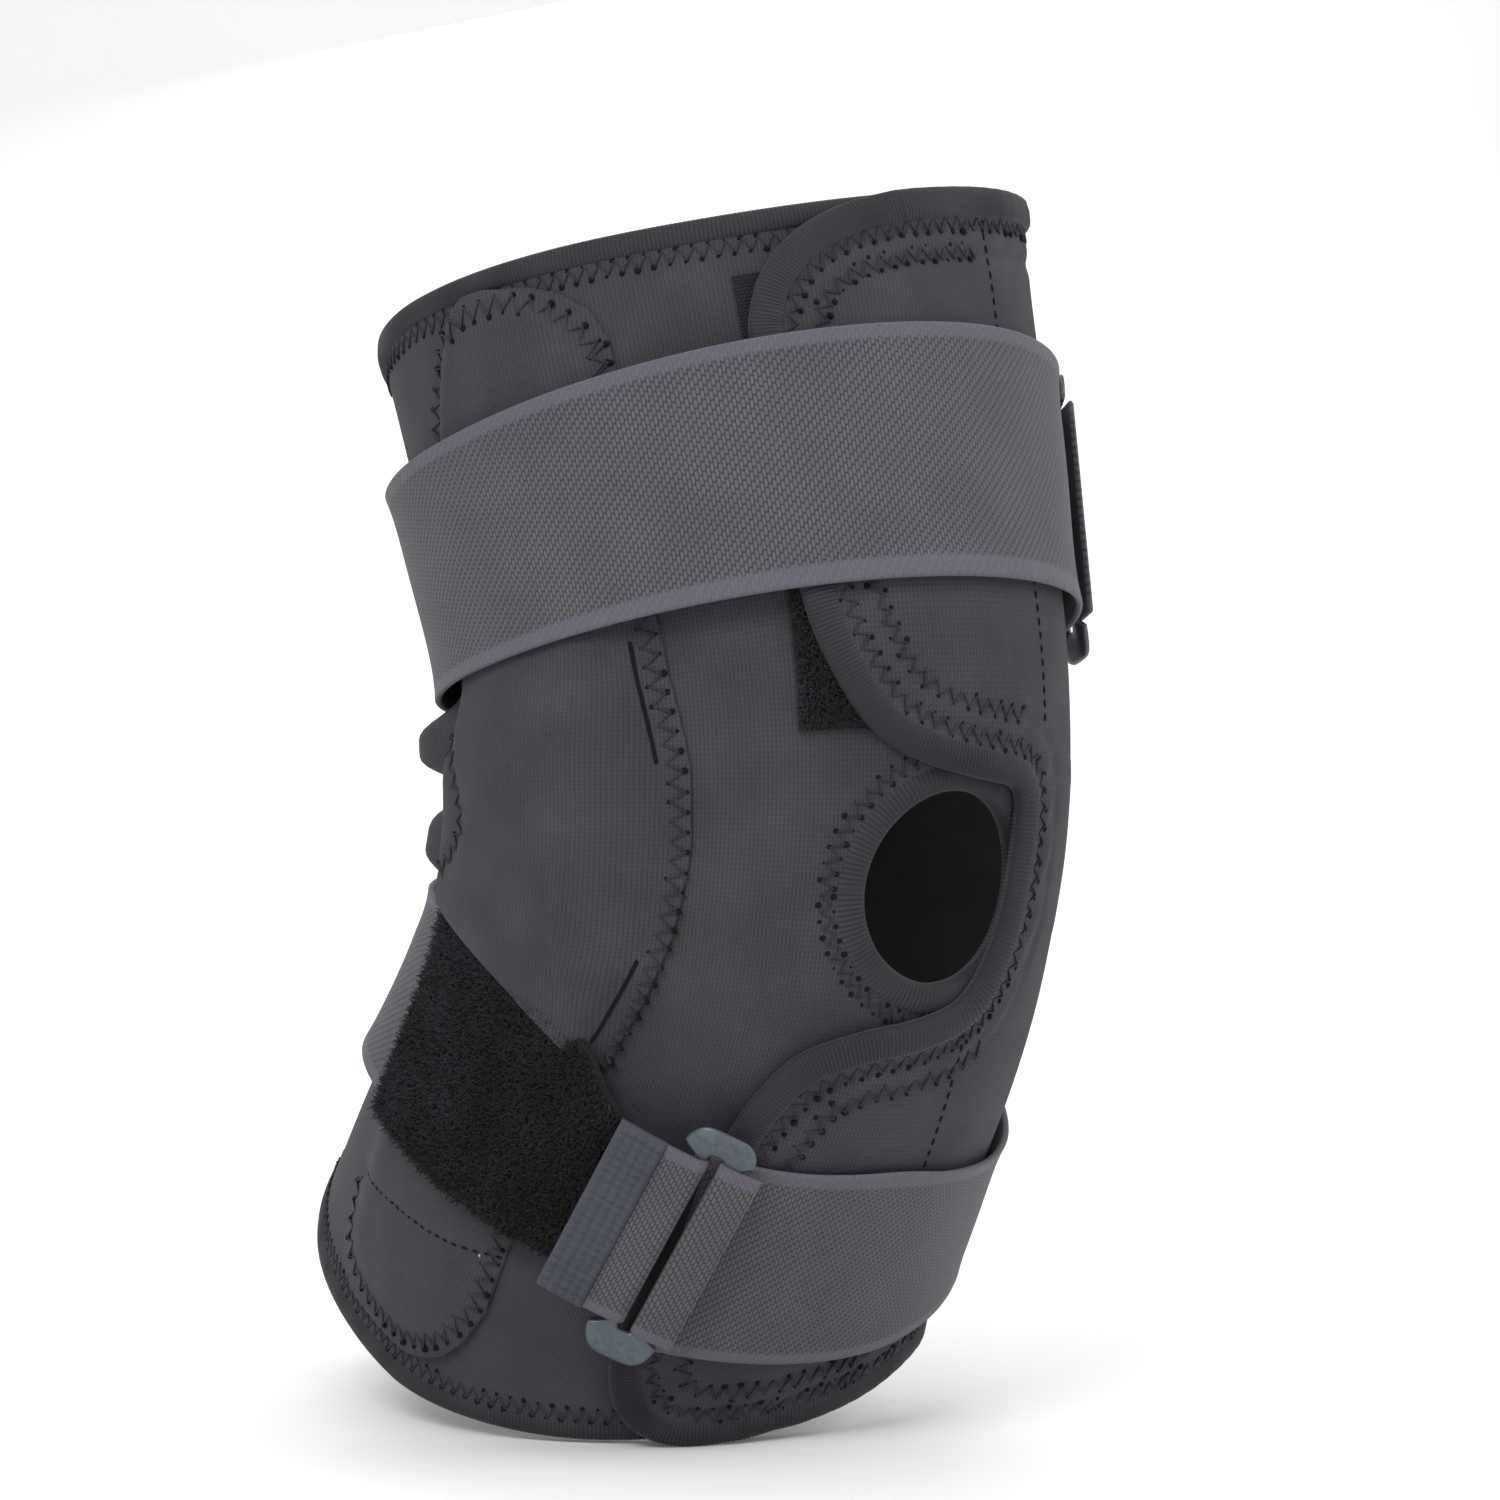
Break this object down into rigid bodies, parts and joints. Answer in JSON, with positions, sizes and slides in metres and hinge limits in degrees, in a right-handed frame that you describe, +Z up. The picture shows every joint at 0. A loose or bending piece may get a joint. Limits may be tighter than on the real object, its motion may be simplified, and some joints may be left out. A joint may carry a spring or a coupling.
{
  "type": "hinged knee brace",
  "caption": "Wrap-around neoprene knee brace with an open patella, side hinges in pockets and two straps that close through slot buckles, held bent as worn.",
  "frame": {"origin": "middle of the knee hinge axis, between the two side hinges, where the wearer's knee holds the brace", "axes": "+Z up, -Y the front of the knee, -X the outer (lateral) side of a right leg, X along the hinge axis"},
  "size_m": [0.1795, 0.2362, 0.308],
  "materials": {
    "neoprene": "charcoal knitted nylon face over closed-cell neoprene, matt",
    "binding": "ribbed elastic edge tape, matt",
    "strap_elastic": "woven elastic webbing with a fine grain, satin",
    "loop_pile": "black brushed loop pile",
    "hook_tape": "black hook tape",
    "ribbed_tape": "ribbed grip tape, satin",
    "buckle": "grey metal slot ring, satin",
    "bar_metal": "brushed",
    "rivet_metal": "satin",
    "hinge_cap": "moulded black",
    "pad_foam": "foam faced with jersey"
  },
  "bodies": {
    "thigh": {"thigh_wrap": "neoprene", "thigh_flap": "neoprene", "knee_panel": "neoprene", "popliteal_panel": "neoprene", "medial_knee_panel": "neoprene", "lateral_thigh_pocket": "neoprene", "medial_thigh_pocket": "neoprene", "lateral_hinge_cover": "neoprene", "medial_hinge_cover": "neoprene", "thigh_hem_binding": "binding", "thigh_flap_binding": "binding", "patella_binding": "binding", "cutout_binding": "binding", "thigh_strap": "strap_elastic", "thigh_buckle_loop": "strap_elastic", "thigh_loop_patch": "loop_pile", "thigh_pile_strap": "loop_pile", "thigh_hook_patch": "hook_tape", "thigh_buckle": "buckle", "lateral_thigh_bar": "bar_metal", "lateral_pivot_rivet": "rivet_metal", "lateral_hinge_cap": "hinge_cap", "lateral_condyle_pad": "pad_foam", "medial_thigh_bar": "bar_metal", "medial_pivot_rivet": "rivet_metal", "medial_hinge_cap": "hinge_cap", "medial_condyle_pad": "pad_foam"},
    "calf": {"calf_wrap": "neoprene", "calf_flap": "neoprene", "calf_hem_binding": "binding", "calf_flap_binding": "binding", "calf_strap": "strap_elastic", "calf_buckle_loop": "strap_elastic", "calf_loop_patch": "loop_pile", "calf_pile_strap": "loop_pile", "calf_hook_patch": "hook_tape", "calf_buckle": "buckle", "lateral_calf_bar": "bar_metal", "lateral_calf_pocket": "neoprene", "lateral_stop_pin": "rivet_metal", "medial_calf_bar": "bar_metal", "medial_calf_pocket": "neoprene", "medial_stop_pin": "rivet_metal"},
    "thigh_tail": {"thigh_strap_tail": "strap_elastic", "thigh_tail_tab": "ribbed_tape"},
    "calf_tail": {"calf_strap_tail": "strap_elastic", "calf_tail_tab": "ribbed_tape"}
  },
  "joints": [
    {"name": "knee_flexion", "type": "hinge", "parent": "thigh", "child": "calf", "pos_m": [0, 0, 0], "axis": [1, 0, 0], "range_deg": [-42, 48], "deforming": ["knee_panel", "popliteal_panel", "medial_knee_panel", "patella_binding", "cutout_binding", "lateral_hinge_cover", "medial_hinge_cover", "calf_strap", "calf_pile_strap"]},
    {"name": "thigh_tail_peel", "type": "hinge", "parent": "thigh", "child": "thigh_tail", "pos_m": [0.08103, -0.01388, 0.08121], "axis": [-0.0872, -0.2333, -0.9685], "range_deg": [0, 60]},
    {"name": "calf_tail_peel", "type": "hinge", "parent": "calf", "child": "calf_tail", "pos_m": [-0.05418, -0.023, -0.09061], "axis": [0.1127, -0.5516, 0.8264], "range_deg": [0, 60]}
  ]
}
